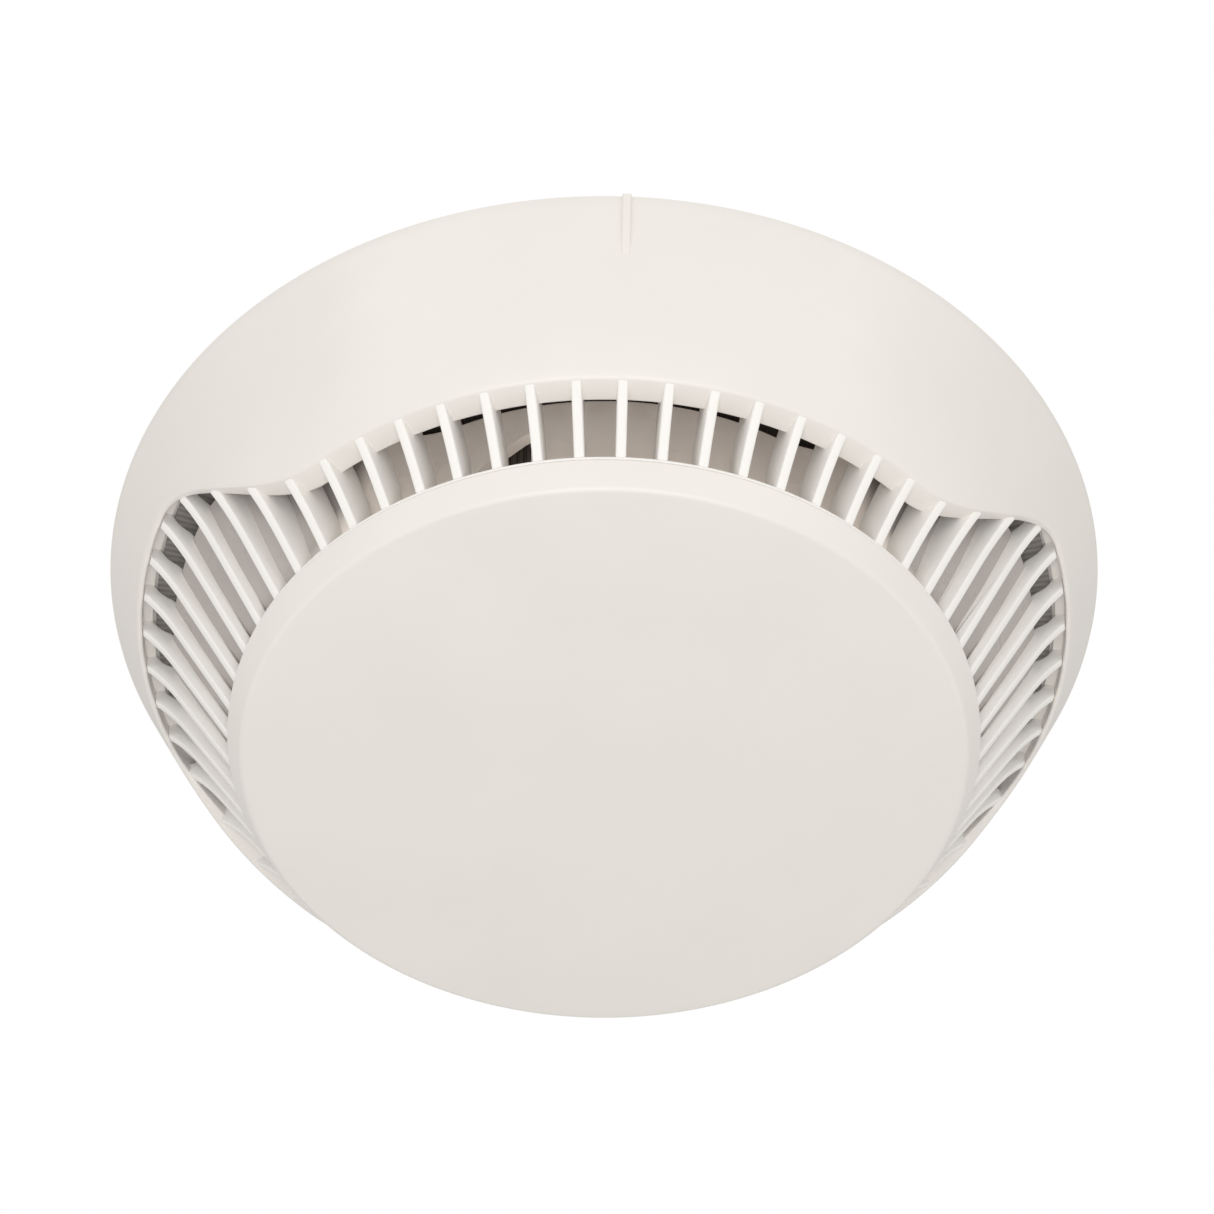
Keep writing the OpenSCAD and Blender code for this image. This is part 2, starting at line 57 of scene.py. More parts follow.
# ------------------------------------------------------------------ driving sizes
RIM_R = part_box("outer_cover")[1].x
RIM_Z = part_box("outer_cover")[1].z
VENT_END_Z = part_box("fin_cage")[0].z
FACE_LOW_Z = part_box("face_cap")[0].z
FACE_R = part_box("face_cap")[1].x
DRAFT = math.radians(25)            # of the straight part of the skirt
SKIRT_H = 11 * MM                   # height of the straight part
DOME_R = 37.5 * MM                  # radius of the curve below it
WALL = 2 * MM
NARROW_R = 43.1 * MM                # vent's upper edge at the front and rear
WIDE_R = 48.4 * MM                  # and at both sides
RISE = (44, 71)                     # azimuths between which the edge rises, degrees
LEDGE = (2.75 * MM, 0.5 * MM)       # width of that edge's underside, narrow and wide vents
STEP_Z = RIM_Z - 6.2 * MM           # underside of the step above the wide vents
FINS = 60
FIN_T = 1.0 * MM
# Inner line of a fin, radius and depth below the rim in mm, for the narrow and the wide vents
FIN_INSIDE = (((35.5, 22.8), (35.7, 19.1), (37.4, 16.9), (39.0, 14.8), (40.6, 14.4), (41.8, 16.2)),
              ((36.6, 22.8), (39.9, 17.3), (43.5, 9.8), (44.3, 8.3), (46.0, 7.4), (46.9, 6.1)))
# Flare at a fin's top: distance below the vent's edge, and how far it stands out, mm
FIN_FLARE = ((0.0, 0.75), (0.5, 0.56), (1.3, 0.34), (2.4, 0.15), (3.6, 0.04), (5.0, 0.0))
KNEE_R = RIM_R - SKIRT_H * math.tan(DRAFT)
RING_R = 34.6 * MM                  # inside radius of the ring that the fins stand on
SPIGOT = (33.95 * MM, 34.5 * MM)    # inside and outside radius of the face cap's spigot
GUIDE_R = 33.8 * MM                 # outside radius of the guide's upright part
GUIDE_LOW_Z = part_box("air_guide")[0].z
GUIDE_WALL = 1.2 * MM
GUIDE_FLARE = (28, 66)              # azimuths between which the guide leans out, degrees
# The guide's outside in the wide vents, radius and depth below the rim, mm
GUIDE_LINE = ((36.8, 22.1), (40.1, 17.3), (44.1, 10.0), (44.5, 9.2))
NOTCH_AZIMUTH = -17                 # of the notch in the guide, degrees
# The notch, across and up from its foot, mm
NOTCH = ((-4.2, 0), (1.5, 0), (1.5, 5.9), (1.4, 6.25), (1.05, 6.35), (0.7, 6.2), (-3.6, 2.85),
         (-4.05, 2.4), (-4.2, 1.9))
NOTCH_FOOT_Z = RIM_Z - 19.6 * MM
EDGE_ROUND = 0.22 * MM              # of the vent's edge and of the fins

# ------------------------------------------------------------------ camera and light
CAMERA_AZIMUTH = -2.4
CAMERA_ELEVATION = -48.95
CAMERA_DISTANCE = 416 * MM          # from the middle of the rim's plane
CAMERA_LENS = 116.95                # mm, on a sensor 36 mm wide
CAMERA_AIM = (0.31 * MM, -0.74 * MM)   # right and up from that middle
STUDIO_STRENGTH = 0.69              # of the white surroundings' light on the object


# ------------------------------------------------------------------ the skirt's section
def slope(depth):
    """Angle of the skirt from vertical at a depth below the rim."""
    if depth <= SKIRT_H:
        return DRAFT
    return math.asin(math.sin(DRAFT) + (depth - SKIRT_H) / DOME_R)


def skirt_radius(depth):
    """Radius of the skirt at a depth below the rim."""
    if depth <= SKIRT_H:
        return RIM_R - depth * math.tan(DRAFT)
    return KNEE_R - DOME_R * (math.cos(DRAFT) - math.cos(slope(depth)))


def skirt_depth(radius):
    """Depth below the rim at which the skirt has a radius."""
    if radius >= KNEE_R:
        return (RIM_R - radius) / math.tan(DRAFT)
    turned = math.acos(math.cos(DRAFT) - (KNEE_R - radius) / DOME_R)
    return SKIRT_H + DOME_R * (math.sin(turned) - math.sin(DRAFT))


def skirt_point(depth, inwards=0.0):
    """Radius and height of the skirt's surface at a depth, moved inwards through the wall."""
    lean = slope(depth)
    return (skirt_radius(depth) - inwards * math.cos(lean),
            RIM_Z - depth + inwards * math.sin(lean))


def rise(azimuth, turns=RISE):
    """0 in the narrow vents at front and rear, 1 in the wide ones, with a smooth step between."""
    off = abs(azimuth) % 180
    off = min(off, 180 - off)
    t = min(1.0, max(0.0, (off - turns[0]) / (turns[1] - turns[0])))
    return t * t * (3 - 2 * t)


def edge_radius(azimuth):
    """Radius of the vent's upper edge."""
    return NARROW_R + (WIDE_R - NARROW_R) * rise(azimuth)


def polar(radius, azimuth, z):
    """A point at a radius, an azimuth in degrees and a height."""
    a = math.radians(azimuth)
    return Vector((radius * math.sin(a), -radius * math.cos(a), z))


def arc(centre, radius, start, end, count):
    """Points of an arc in the section plane; angles in degrees from outwards to up."""
    turns = [math.radians(start + (end - start) * i / (count - 1)) for i in range(count)]
    return [(centre[0] + radius * math.cos(t), centre[1] + radius * math.sin(t)) for t in turns]


# ------------------------------------------------------------------ mesh helpers
def new_piece(name, bm, body, replaces=()):
    """Makes an object from a bmesh, smooth with sharp edges past 32 degrees, riding on a body."""
    bmesh.ops.recalc_face_normals(bm, faces=bm.faces)
    mesh = bpy.data.meshes.new(name)
    bm.to_mesh(mesh)
    bm.free()
    piece = bpy.data.objects.new(name, mesh)
    bpy.context.scene.collection.objects.link(piece)
    smooth(piece)
    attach(piece, body)
    if replaces:
        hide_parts(*replaces)
    return piece


def smooth(piece, angle=32):
    """Smooth shading that breaks at edges sharper than the angle."""
    piece.data.polygons.foreach_set("use_smooth", [True] * len(piece.data.polygons))
    split = piece.modifiers.new("sharp_edges", "EDGE_SPLIT")
    split.split_angle = math.radians(angle)


def loft(bm, sections, closed):
    """Quads between sections with equal numbers of points, each section a closed loop.
    closed joins the last section to the first; otherwise both ends get a cap."""
    rings = [[bm.verts.new(p) for p in section] for section in sections]
    count = len(rings[0])
    pairs = list(zip(rings, rings[1:]))
    if closed:
        pairs.append((rings[-1], rings[0]))
    for low, high in pairs:
        for i in range(count):
            j = (i + 1) % count
            bm.faces.new((low[i], low[j], high[j], high[i]))
    if not closed:
        bm.faces.new(rings[0])
        bm.faces.new(reversed(rings[-1]))


def revolve(bm, section, steps=360):
    """A closed section of radius and height turned all the way round."""
    loft(bm, [[polar(r, i * 360 / steps, z) for r, z in section] for i in range(steps)], True)


# ------------------------------------------------------------------ outer cover
def cover_section(azimuth):
    """The skirt's closed section at an azimuth: outside, vent edge, ledge, inside, rim."""
    rim_round = 0.35 * MM
    edge = edge_radius(azimuth)
    depth = skirt_depth(edge)
    ledge_z = RIM_Z - depth
    ledge_r = edge - (LEDGE[0] + (LEDGE[1] - LEDGE[0]) * rise(azimuth))
    rows = 30
    top = rim_round * 1.4
    points = [(RIM_R - 0.75 * rim_round, RIM_Z), (RIM_R - 0.32 * rim_round, RIM_Z - 0.12 * rim_round)]
    points += [skirt_point(top + (depth - EDGE_ROUND - top) * i / rows) for i in range(rows + 1)]
    points += [(edge - 0.10 * MM, ledge_z + 0.02 * MM), (edge - 0.28 * MM, ledge_z)]
    points += arc((ledge_r + EDGE_ROUND, ledge_z + EDGE_ROUND), EDGE_ROUND, 270, 180, 4)
    back_z = min(max(ledge_z + 0.8 * MM, inner_height(ledge_r) + 0.15 * MM), STEP_Z)
    points.append((ledge_r, back_z))
    points.append((inner_radius(back_z), back_z + 0.02 * MM))
    inner_rows = 12
    for i in range(1, inner_rows + 1):
        z = back_z + 0.02 * MM + (RIM_Z - 0.5 * MM - back_z) * i / inner_rows
        points.append((inner_radius(z), z))
    points.append((RIM_R - WALL / math.cos(DRAFT) + 0.25 * MM, RIM_Z))
    return points


def inner_table():
    """Radius and height down the inside of the skirt, from the rim to below the vents."""
    depths = [i * 0.25 * MM - 2 * MM for i in range(90)]
    return [(skirt_point(max(d, 0), WALL)[0] - min(d, 0) * math.tan(DRAFT),
             skirt_point(max(d, 0), WALL)[1] - min(d, 0)) for d in depths]


INNER = inner_table()


def inner_radius(z):
    """Radius of the inside of the skirt at a height."""
    for (r0, z0), (r1, z1) in zip(INNER, INNER[1:]):
        if z1 <= z <= z0:
            return r0 + (r1 - r0) * (z0 - z) / (z0 - z1)
    return INNER[-1][0]


def inner_height(radius):
    """Height at which the inside of the skirt has a radius."""
    for (r0, z0), (r1, z1) in zip(INNER, INNER[1:]):
        if r1 <= radius <= r0:
            return z0 + (z1 - z0) * (r0 - radius) / (r0 - r1)
    return INNER[-1][1]


def fin_outline(azimuth):
    """Radius and height round one fin: flared top, straight outer line, foot, curved inner line."""
    wide = rise(azimuth)
    edge = edge_radius(azimuth)
    top = Vector((edge - (1.0 + 0.35 * wide) * MM, RIM_Z - skirt_depth(edge)))
    foot = Vector((FACE_R, VENT_END_Z + 0.3 * MM))
    outline = [Vector((edge - 0.4 * MM, top.y + (0.6 + wide) * MM))]
    for drop, out in FIN_FLARE:
        point = top.lerp(foot, drop * MM / (top.y - foot.y))
        outline.append(point + Vector((out * MM, 0)))
    outline += [foot, foot + Vector((-1.5 * MM, 0))]
    inside = []
    for narrow_point, wide_point in zip(*FIN_INSIDE):
        radius, depth = Vector(narrow_point).lerp(Vector(wide_point), wide)
        inside.append(Vector((radius * MM, RIM_Z - depth * MM)))
    return outline + soften(inside)


def soften(points, passes=2):
    """Rounds the corners of an open line by cutting them; its ends stay."""
    for _ in range(passes):
        cut = [points[0]]
        for here, after in zip(points, points[1:]):
            cut += [here.lerp(after, 0.25), here.lerp(after, 0.75)]
        points = cut + [points[-1]]
    return points


def inset(outline, distance):
    """A closed outline moved inwards by a distance."""
    pairs = list(zip(outline, outline[1:] + outline[:1]))
    turn = 1 if sum(p.x * q.y - q.x * p.y for p, q in pairs) > 0 else -1
    normals = [Vector((p.y - q.y, q.x - p.x)).normalized() * turn for p, q in pairs]
    moved = []
    for i, point in enumerate(outline):
        both = normals[i - 1] + normals[i]
        moved.append(point + both * distance / max(0.4, 1 + normals[i - 1].dot(normals[i])))
    return moved


def add_fin(bm, azimuth):
    """One fin: its outline as a slab whose edges are rounded all round."""
    half = FIN_T / 2
    outline = fin_outline(azimuth)
    across = polar(1, azimuth + 90, 0)
    loops = []
    for turn in (90, 60, 30, 0):
        t = math.radians(turn)
        side = half - EDGE_ROUND * (1 - math.sin(t))
        line = inset(outline, EDGE_ROUND * (1 - math.cos(t)))
        loops.append((side, line))
    loops = [(-side, line) for side, line in loops] + loops[::-1]
    loft(bm, [[polar(p.x, azimuth, p.y) + across * side for p in line] for side, line in loops], False)


def outer_cover():
    """The skirt, its section following the wavy vent edge, and the alignment rib."""
    bm = bmesh.new()
    steps = 720
    sections = []
    for i in range(steps):
        azimuth = i * 360 / steps
        sections.append([polar(r, azimuth, z) for r, z in cover_section(azimuth)])
    loft(bm, sections, True)
    add_rib(bm)
    cover = new_piece("outer_cover_shell", bm, "head", ["outer_cover"])
    cover.data.materials.append(cover_plastic())
    return cover


def fin_cage():
    """All fins and the ring that they stand on."""
    bm = bmesh.new()
    for i in range(FINS):
        add_fin(bm, i * 360 / FINS)
    z = VENT_END_Z
    revolve(bm, [(RING_R, z), (FACE_R - 0.12 * MM, z), (FACE_R - 0.02 * MM, z + 0.08 * MM),
                 (FACE_R - 0.02 * MM, z + 0.25 * MM), (FACE_R - 0.2 * MM, z + 0.45 * MM),
                 (FACE_R - 0.5 * MM, z + 0.55 * MM), (RING_R, z + 0.55 * MM)])
    cage = new_piece("fin_ring", bm, "head", ["fin_cage"])
    cage.data.materials.append(bpy.data.materials["cover_plastic"])
    return cage


def add_rib(bm):
    """Alignment rib: starts at the rim and sinks into the skirt at its lower end."""
    half = 0.45 * MM
    bevel = 0.12 * MM
    rows = 12
    sections = []
    across = polar(1, 90, 0)
    for i in range(rows + 1):
        s = i / rows
        depth = 0.02 * MM + 5.9 * MM * s
        proud = 0.32 * MM * min(1, (1 - s) * 2.2) ** 0.7 + 0.02 * MM
        base = skirt_point(depth, 0.5 * MM)
        tip = skirt_point(depth, -proud)
        shoulder = skirt_point(depth, -proud + bevel)
        sections.append([polar(base[0], 0, base[1]) - across * half,
                         polar(shoulder[0], 0, shoulder[1]) - across * half,
                         polar(tip[0], 0, tip[1]) - across * (half - bevel),
                         polar(tip[0], 0, tip[1]) + across * (half - bevel),
                         polar(shoulder[0], 0, shoulder[1]) + across * half,
                         polar(base[0], 0, base[1]) + across * half])
    loft(bm, sections, False)


# ------------------------------------------------------------------ face and guide
def face_cap():
    """The face: a steep chamfered side, a soft edge and a crowned front, with a spigot ring."""
    low = FACE_LOW_Z
    crown = 0.6 * MM
    side_top = VENT_END_Z - 0.07 * MM
    edge_z = low + crown
    corner = 0.8 * MM
    side_low_r = FACE_R - 1.3 * MM
    lean = math.atan2(FACE_R - side_low_r, side_top - edge_z - corner)
    centre = (side_low_r - corner * math.cos(lean), edge_z + corner)
    section = [(SPIGOT[0], side_top + 0.7 * MM), (SPIGOT[1], side_top + 0.7 * MM),
               (SPIGOT[1], side_top + 0.02 * MM), (FACE_R - 0.16 * MM, side_top),
               (FACE_R - 0.05 * MM, side_top - 0.05 * MM), (FACE_R - 0.02 * MM, side_top - 0.16 * MM)]
    section += arc(centre, corner, -math.degrees(lean), -86, 12)
    flat_r, flat_z = section[-1]
    crown_rings = 25
    for i in range(1, crown_rings):
        r = flat_r * (1 - i / crown_rings)
        section.append((r, flat_z - (flat_z - low) * (1 - (r / flat_r) ** 2)))
    back_z = edge_z + 1.5 * MM
    section += [(r, back_z) for r in (1 * MM, 15 * MM, SPIGOT[0])]
    bm = bmesh.new()
    steps = 360
    rings = [[bm.verts.new(polar(r, i * 360 / steps, z)) for i in range(steps)] for r, z in section]
    crown_end, back_start = rings[-4], rings[-3]
    for ring, following in zip(rings, rings[1:] + rings[:1]):
        if ring is crown_end:
            continue
        for i in range(steps):
            j = (i + 1) % steps
            bm.faces.new((ring[i], ring[j], following[j], following[i]))
    close_disc(bm, crown_end, low)
    close_disc(bm, back_start, back_z)
    cap = new_piece("face_cap_shell", bm, "head", ["face_cap"])
    cap.data.materials.append(cap_plastic())
    return cap


def close_disc(bm, ring, z):
    """Closes a ring of vertices with triangles to its centre."""
    centre = bm.verts.new((0, 0, z))
    for i in range(len(ring)):
        bm.faces.new((ring[i], ring[(i + 1) % len(ring)], centre))


def guide_section(azimuth):
    """The guide's wall: upright behind the narrow vents, close behind the fins in the wide ones."""
    flare = rise(azimuth, GUIDE_FLARE)
    line = [Vector((GUIDE_R, GUIDE_LOW_Z)), Vector((GUIDE_R, RIM_Z - 22.9 * MM))]
    for radius, depth in GUIDE_LINE:
        line.append(Vector((GUIDE_R + (radius * MM - GUIDE_R) * flare, RIM_Z - depth * MM)))
    outside = soften(line)
    lip = [line[-1] + Vector(step) * MM
           for step in ((-0.08, 0.22), (-0.35, 0.35), (-0.85, 0.35), (-1.12, 0.22))]
    return outside + lip + [p - Vector((GUIDE_WALL, 0)) for p in reversed(outside)]


def air_guide():
    """Wall behind the fins with a slant-topped notch; its top edge is rounded."""
    bm = bmesh.new()
    steps = 360
    sections = []
    for i in range(steps):
        azimuth = i * 360 / steps
        sections.append([polar(p.x, azimuth, p.y) for p in guide_section(azimuth)])
    loft(bm, sections, True)
    guide = new_piece("air_guide_wall", bm, "head", ["air_guide"])
    cut = notch_cutter(NOTCH_AZIMUTH)
    notch = guide.modifiers.new("notch", "BOOLEAN")
    notch.object = cut
    notch.operation = "DIFFERENCE"
    notch.solver = "EXACT"
    apply_modifiers(guide)
    bpy.data.objects.remove(cut)
    smooth(guide)
    guide.data.materials.append(guide_plastic())
    return guide


def notch_cutter(azimuth):
    """A prism with a slanted top and rounded corners, across the guide's wall."""
    bm = bmesh.new()
    across = polar(1, azimuth + 90, 0)
    loops = []
    for r in (GUIDE_R - 4 * MM, GUIDE_R + 3 * MM):
        loops.append([polar(r, azimuth, NOTCH_FOOT_Z + y * MM) + across * x * MM for x, y in NOTCH])
    loft(bm, loops, False)
    bmesh.ops.recalc_face_normals(bm, faces=bm.faces)
    mesh = bpy.data.meshes.new("cutter")
    bm.to_mesh(mesh)
    bm.free()
    cutter = bpy.data.objects.new("cutter", mesh)
    bpy.context.scene.collection.objects.link(cutter)
    return cutter


def apply_modifiers(piece):
    """Replaces the piece's mesh by what its modifiers make of it."""
    graph = bpy.context.evaluated_depsgraph_get()
    made = bpy.data.meshes.new_from_object(piece.evaluated_get(graph))
    piece.modifiers.clear()
    piece.data = made


# ------------------------------------------------------------------ materials
def start_material(name):
    """A new material, with its node tree, its shader and the object's own coordinates."""
    material = bpy.data.materials.new(name)
    material.use_nodes = True
    tree = material.node_tree
    shader = tree.nodes["Principled BSDF"]
    place = tree.nodes.new("ShaderNodeTexCoord").outputs["Object"]
    return material, tree, shader, place


def noise(tree, place, size, detail=2.0, stretch=None):
    """Noise whose features are about size metres across."""
    if stretch:
        mapping = tree.nodes.new("ShaderNodeMapping")
        mapping.inputs["Scale"].default_value = stretch
        tree.links.new(place, mapping.inputs["Vector"])
        place = mapping.outputs["Vector"]
    node = tree.nodes.new("ShaderNodeTexNoise")
    node.inputs["Scale"].default_value = 1 / size
    node.inputs["Detail"].default_value = detail
    tree.links.new(place, node.inputs["Vector"])
    return node.outputs["Fac"]


def ramp(tree, value, low, high, start=0.3, end=0.7):
    """Maps a 0 to 1 value to between two numbers or two colours."""
    if isinstance(low, (int, float)):
        node = tree.nodes.new("ShaderNodeMapRange")
        node.inputs["From Min"].default_value = start
        node.inputs["From Max"].default_value = end
        node.inputs["To Min"].default_value = low
        node.inputs["To Max"].default_value = high
        tree.links.new(value, node.inputs["Value"])
        return node.outputs["Result"]
    node = tree.nodes.new("ShaderNodeValToRGB")
    node.color_ramp.elements[0].position = start
    node.color_ramp.elements[1].position = end
    node.color_ramp.elements[0].color = (*low, 1)
    node.color_ramp.elements[1].color = (*high, 1)
    tree.links.new(value, node.inputs["Fac"])
    return node.outputs["Color"]


def bump(tree, shader, height, depth):
    """Relief in the shading, depth metres deep."""
    node = tree.nodes.new("ShaderNodeBump")
    node.inputs["Distance"].default_value = depth
    node.inputs["Strength"].default_value = 1.0
    tree.links.new(height, node.inputs["Height"])
    tree.links.new(node.outputs["Normal"], shader.inputs["Normal"])


def tint(colour, factor):
    """A colour made lighter or darker."""
    return tuple(min(1.0, c * factor) for c in colour)


def start_plastic(name, rough, grain):
    """Moulded plastic without its colour: uneven satin and the fine grain of the tool."""
    material, tree, shader, place = start_material(name)
    tree.links.new(ramp(tree, noise(tree, place, 3 * MM, 3), rough - 0.04, rough + 0.05),
                   shader.inputs["Roughness"])
    shader.inputs["IOR"].default_value = 1.5
    bump(tree, shader, noise(tree, place, 0.22 * MM, 2), grain)
    return material, tree, shader, place


def plastic(name, colour, rough=0.42, grain=4e-6, mottle=0.012):
    """Moulded plastic with faint mottling."""
    material, tree, shader, place = start_plastic(name, rough, grain)
    mottling = noise(tree, place, 14 * MM, 3)
    tree.links.new(ramp(tree, mottling, tint(colour, 1 - mottle), tint(colour, 1 + mottle)),
                   shader.inputs["Base Color"])
    return material


def cover_plastic():
    """Warm white of the skirt and the fins."""
    return plastic("cover_plastic", (0.86, 0.825, 0.785), rough=0.4)


def cap_plastic():
    """The same white with a finer grain."""
    return plastic("cap_plastic", (0.86, 0.825, 0.785), rough=0.4, grain=3e-6)


def guide_plastic():
    """Warm white, darker where the guide leans out: painted shade between the fins of the wide vents.
    The upright part glows weakly: painted light that stands for light scattered inside the head
    and brightens the narrow vents."""
    material, tree, shader, place = start_plastic("guide_plastic", 0.3, 2e-6)
    clouds = noise(tree, place, 9 * MM, 2)
    leaning = outside_of(tree, place, GUIDE_R + 2.8 * MM)
    upright_tone = ramp(tree, clouds, (0.84, 0.79, 0.74), (0.90, 0.85, 0.80))
    # painted shade: the leaning part's darker colour stands for the shade between the fins
    leaning_painted_shade = ramp(tree, clouds, (0.44, 0.405, 0.38), (0.49, 0.455, 0.43))
    tree.links.new(mix(tree, leaning, upright_tone, leaning_painted_shade), shader.inputs["Base Color"])
    # painted light: a weak glow on the upright part stands for light scattered inside the head
    upright_painted_light = ramp(tree, clouds, (0.12, 0.101, 0.086), (0.14, 0.118, 0.10))
    leaning_painted_light = ramp(tree, clouds, (0.0, 0.0, 0.0), (0.004, 0.004, 0.004))
    tree.links.new(mix(tree, leaning, upright_painted_light, leaning_painted_light), shader.inputs["Emission Color"])
    shader.inputs["Emission Strength"].default_value = 1.0
    return material


def metal(name, colour, rough=0.28, stain=0.15, brushed=(1, 1, 12)):
    """Metal strip or turned steel: fine drawn lines and slight tarnish."""
    material, tree, shader, place = start_material(name)
    shader.inputs["Metallic"].default_value = 1
    tarnish = noise(tree, place, 2.5 * MM, 4)
    tree.links.new(ramp(tree, tarnish, tint(colour, 1 - stain), colour), shader.inputs["Base Color"])
    lines = noise(tree, place, 0.6 * MM, 3, brushed)
    tree.links.new(ramp(tree, lines, rough - 0.08, rough + 0.1), shader.inputs["Roughness"])
    bump(tree, shader, lines, 6e-6)
    return material


def clear(name, colour):
    """Clear or tinted moulding, with faint waviness."""
    material, tree, shader, place = start_material(name)
    shader.inputs["Base Color"].default_value = (*colour, 1)
    shader.inputs["Transmission Weight"].default_value = 0.9
    shader.inputs["IOR"].default_value = 1.49
    tree.links.new(ramp(tree, noise(tree, place, 2 * MM, 2), 0.06, 0.16), shader.inputs["Roughness"])
    bump(tree, shader, noise(tree, place, 1.2 * MM, 2), 8e-6)
    return material


def board_laminate():
    """Green solder mask over copper tracks, which show as paler lines."""
    material, tree, shader, place = start_material("board_laminate")
    tracks = tree.nodes.new("ShaderNodeTexVoronoi")
    tracks.distance = "MANHATTAN"
    tracks.feature = "DISTANCE_TO_EDGE"
    tracks.inputs["Scale"].default_value = 1 / (3.2 * MM)
    tree.links.new(place, tracks.inputs["Vector"])
    greens = ramp(tree, tracks.outputs["Distance"], (0.05, 0.27, 0.11), (0.015, 0.13, 0.05), 0.08, 0.12)
    tree.links.new(greens, shader.inputs["Base Color"])
    shader.inputs["Roughness"].default_value = 0.3
    bump(tree, shader, ramp(tree, tracks.outputs["Distance"], 1.0, 0.0, 0.08, 0.14), 3e-5)
    return material


def screen_mesh():
    """Dark woven wire; further out than 40 mm it is a grey ring with fine spokes."""
    material, tree, shader, place = start_material("screen_mesh")
    heights = []
    for axis in ("X", "Y"):
        wave = tree.nodes.new("ShaderNodeTexWave")
        wave.bands_direction = axis
        wave.inputs["Scale"].default_value = 1 / (2.2 * MM) / 0.314
        tree.links.new(place, wave.inputs["Vector"])
        heights.append(wave.outputs["Fac"])
    top = tree.nodes.new("ShaderNodeMath")
    top.operation = "MAXIMUM"
    tree.links.new(heights[0], top.inputs[0])
    tree.links.new(heights[1], top.inputs[1])
    weave = ramp(tree, top.outputs["Value"], (0.01, 0.008, 0.007), (0.12, 0.105, 0.095), 0.35, 0.75)
    spokes = radial_lines(tree, place, 420)
    ring = ramp(tree, spokes, (0.25, 0.23, 0.22), (0.34, 0.32, 0.305), 0.2, 0.8)
    tree.links.new(mix(tree, outside_of(tree, place, 40 * MM), weave, ring),
                   shader.inputs["Base Color"])
    shader.inputs["Metallic"].default_value = 0.2
    shader.inputs["Roughness"].default_value = 0.5
    bump(tree, shader, spokes, 5e-5)
    return material


def mix(tree, factor, first, second):
    """Blend of two colours."""
    blend = tree.nodes.new("ShaderNodeMix")
    blend.data_type = "RGBA"
    tree.links.new(factor, blend.inputs["Factor"])
    tree.links.new(first, [i for i in blend.inputs if i.name == "A" and i.type == "RGBA"][0])
    tree.links.new(second, [i for i in blend.inputs if i.name == "B" and i.type == "RGBA"][0])
    return [o for o in blend.outputs if o.name == "Result" and o.type == "RGBA"][0]


def radial_lines(tree, place, count):
    """A wave that runs round the axis, with count lines in a turn."""
    turn = tree.nodes.new("ShaderNodeTexGradient")
    turn.gradient_type = "RADIAL"
    tree.links.new(place, turn.inputs["Vector"])
    scaled = tree.nodes.new("ShaderNodeMath")
    scaled.operation = "MULTIPLY"
    scaled.inputs[1].default_value = count * 2 * math.pi
    tree.links.new(turn.outputs["Fac"], scaled.inputs[0])
    wave = tree.nodes.new("ShaderNodeMath")
    wave.operation = "SINE"
    tree.links.new(scaled.outputs["Value"], wave.inputs[0])
    return ramp(tree, wave.outputs["Value"], 0.0, 1.0, -1.0, 1.0)


def outside_of(tree, place, radius):
    """0 inside a radius round the axis and 1 outside it, with a soft step."""
    flat = tree.nodes.new("ShaderNodeVectorMath")
    flat.operation = "MULTIPLY"
    flat.inputs[1].default_value = (1, 1, 0)
    tree.links.new(place, flat.inputs[0])
    length = tree.nodes.new("ShaderNodeVectorMath")
    length.operation = "LENGTH"
    tree.links.new(flat.outputs["Vector"], length.inputs[0])
    return ramp(tree, length.outputs["Value"], 0.0, 1.0, radius - 0.5 * MM, radius + 0.5 * MM)


# Material of each slot whose nodes keep their CAD shape
MATERIALS = {
    "base_plastic": lambda: plastic("base_plastic", (0.84, 0.81, 0.77), rough=0.45),
    "housing_plastic": lambda: plastic("housing_plastic", (0.74, 0.71, 0.67), rough=0.42),
    "chamber_plastic": lambda: plastic("chamber_plastic", (0.045, 0.026, 0.016), 0.5, 1.2e-5),
    "component_black": lambda: plastic("component_black", (0.03, 0.03, 0.032), 0.55, 1.5e-5),
    "ceramic_tan": lambda: plastic("ceramic_tan", (0.5, 0.36, 0.22), 0.5, 5e-6, 0.05),
    "red_led": lambda: plastic("red_led", (0.65, 0.03, 0.025), 0.2, 1e-6),
    "led_lens": lambda: clear("led_lens", (0.25, 0.3, 0.75)),
    "clear_plastic": lambda: clear("clear_plastic", (0.93, 0.95, 0.96)),
    "reed_glass": lambda: clear("reed_glass", (0.6, 0.82, 0.68)),
    "board_laminate": board_laminate,
    "screen_mesh": screen_mesh,
    "capacitor_can": lambda: metal("capacitor_can", (0.78, 0.79, 0.8), 0.25, 0.05),
    "tinned_steel": lambda: metal("tinned_steel", (0.72, 0.71, 0.68), 0.35, 0.1, (8, 1, 1)),
    "spring_metal": lambda: metal("spring_metal", (0.83, 0.66, 0.36), 0.25, 0.12, (6, 6, 1)),
    "contact_brass": lambda: metal("contact_brass", (0.86, 0.7, 0.38), 0.22, 0.12, (6, 6, 1)),
    "plated_steel": lambda: metal("plated_steel", (0.7, 0.7, 0.71), 0.28, 0.1),
    "dark_steel": lambda: metal("dark_steel", (0.06, 0.06, 0.065), 0.4, 0.3),
}


def finish_cad_nodes():
    """Every CAD node that is shown keeps its shape and gets its slot's material."""
    made = {}
    for row in frame["record"]["subparts"]:
        piece = nodes[row["node"]]
        if piece.hide_render:
            continue
        slot = row["material_slot"]
        if slot not in made:
            made[slot] = MATERIALS[slot]()
        piece.data.materials.clear()
        piece.data.materials.append(made[slot])
        smooth(piece, 30)


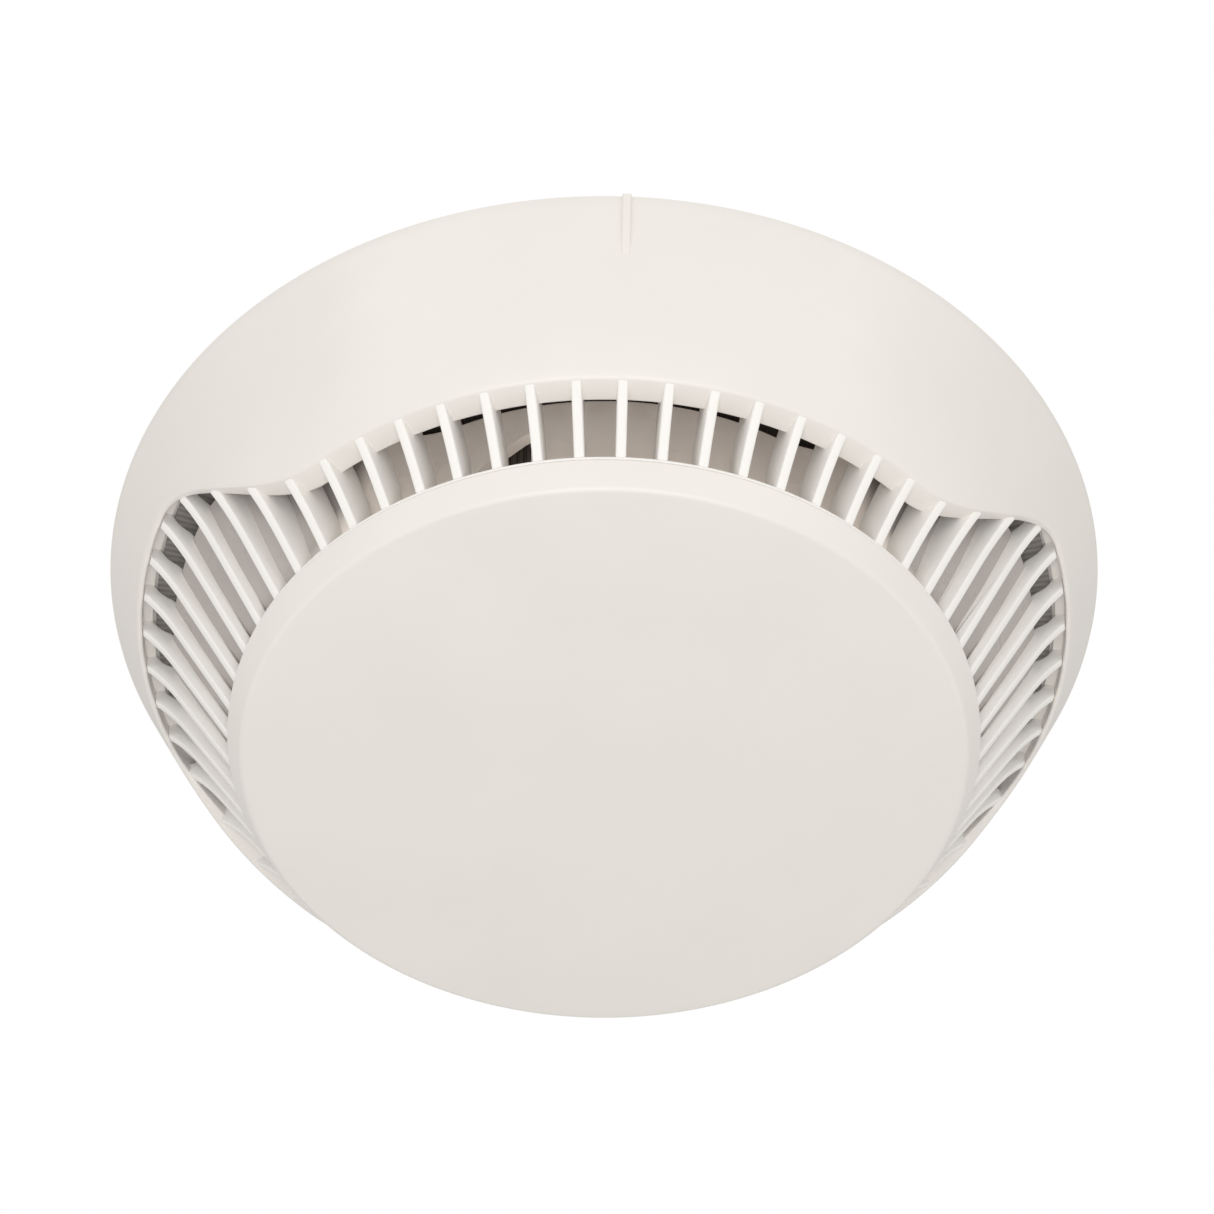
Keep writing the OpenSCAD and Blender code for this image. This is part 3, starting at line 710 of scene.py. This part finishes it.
# ------------------------------------------------------------------ camera, light, floor
def camera_axes(azimuth, elevation):
    """Unit vectors from the object to the camera, to the right and up in its picture."""
    a, e = math.radians(azimuth), math.radians(elevation)
    back = Vector((math.sin(a) * math.cos(e), -math.cos(a) * math.cos(e), math.sin(e)))
    right = Vector((0, 0, 1)).cross(back).normalized()
    return back, right, back.cross(right)


def add_camera():
    """Long lens looking up from below, nearly in line with the alignment rib.
    Returns the directions from the object to the camera and up in its picture."""
    back, right, up = camera_axes(CAMERA_AZIMUTH, CAMERA_ELEVATION)
    centre = Vector((0, 0, RIM_Z))
    data = bpy.data.cameras.new("camera")
    data.sensor_width = 36
    data.lens = CAMERA_LENS
    camera = bpy.data.objects.new("camera", data)
    bpy.context.scene.collection.objects.link(camera)
    aim = centre + right * CAMERA_AIM[0] + up * CAMERA_AIM[1]
    camera.location = centre + back * CAMERA_DISTANCE
    camera.rotation_euler = (camera.location - aim).to_track_quat("Z", "Y").to_euler()
    data.clip_start = 0.01
    bpy.context.scene.camera = camera
    return back, up


def area_light(name, direction, distance, size, power):
    """A white disk light that faces the object; metres and watts."""
    data = bpy.data.lights.new(name, "AREA")
    data.shape = "DISK"
    data.size = size
    data.energy = power
    light = bpy.data.objects.new(name, data)
    light.location = Vector((0, 0, RIM_Z)) + direction.normalized() * distance
    light.rotation_euler = direction.to_track_quat("Z", "Y").to_euler()
    bpy.context.scene.collection.objects.link(light)


def add_world():
    """White studio: the lens sees pure white, and the object gets a softer share of it."""
    world = bpy.data.worlds.new("studio")
    bpy.context.scene.world = world
    world.use_nodes = True
    tree = world.node_tree
    ground = tree.nodes["Background"]
    seen = tree.nodes.new("ShaderNodeBackground")
    seen.inputs["Color"].default_value = (1, 1, 1, 1)
    ground.inputs["Color"].default_value = (1.0, 0.985, 0.965, 1)
    ground.inputs["Strength"].default_value = STUDIO_STRENGTH
    path = tree.nodes.new("ShaderNodeLightPath")
    choice = tree.nodes.new("ShaderNodeMixShader")
    tree.links.new(path.outputs["Is Camera Ray"], choice.inputs["Fac"])
    tree.links.new(ground.outputs["Background"], choice.inputs[1])
    tree.links.new(seen.outputs["Background"], choice.inputs[2])
    tree.links.new(choice.outputs["Shader"], tree.nodes["World Output"].inputs["Surface"])


def add_floor():
    """Plain pale floor, as far below as a room's."""
    bm = bmesh.new()
    bmesh.ops.create_grid(bm, x_segments=1, y_segments=1, size=4)
    mesh = bpy.data.meshes.new("floor")
    bm.to_mesh(mesh)
    bm.free()
    floor = bpy.data.objects.new("floor", mesh)
    floor.location.z = -1.5
    bpy.context.scene.collection.objects.link(floor)
    material, tree, shader, place = start_material("floor")
    tree.links.new(ramp(tree, noise(tree, place, 0.4, 2), (0.86, 0.86, 0.85), (0.88, 0.88, 0.87)),
                   shader.inputs["Base Color"])
    shader.inputs["Roughness"].default_value = 0.8
    floor.data.materials.append(material)


outer_cover()
fin_cage()
face_cap()
air_guide()
finish_cad_nodes()
back, up = add_camera()
add_world()
add_floor()
area_light("key", back - up * 0.12, 0.46, 0.30, 0.77)
area_light("left", Vector((-0.68, -0.73, 0.03)), 0.8, 0.2, 0.35)
area_light("right", Vector((0.72, -0.70, 0.05)), 0.8, 0.2, 0.35)

bpy.context.scene.view_settings.view_transform = "Standard"
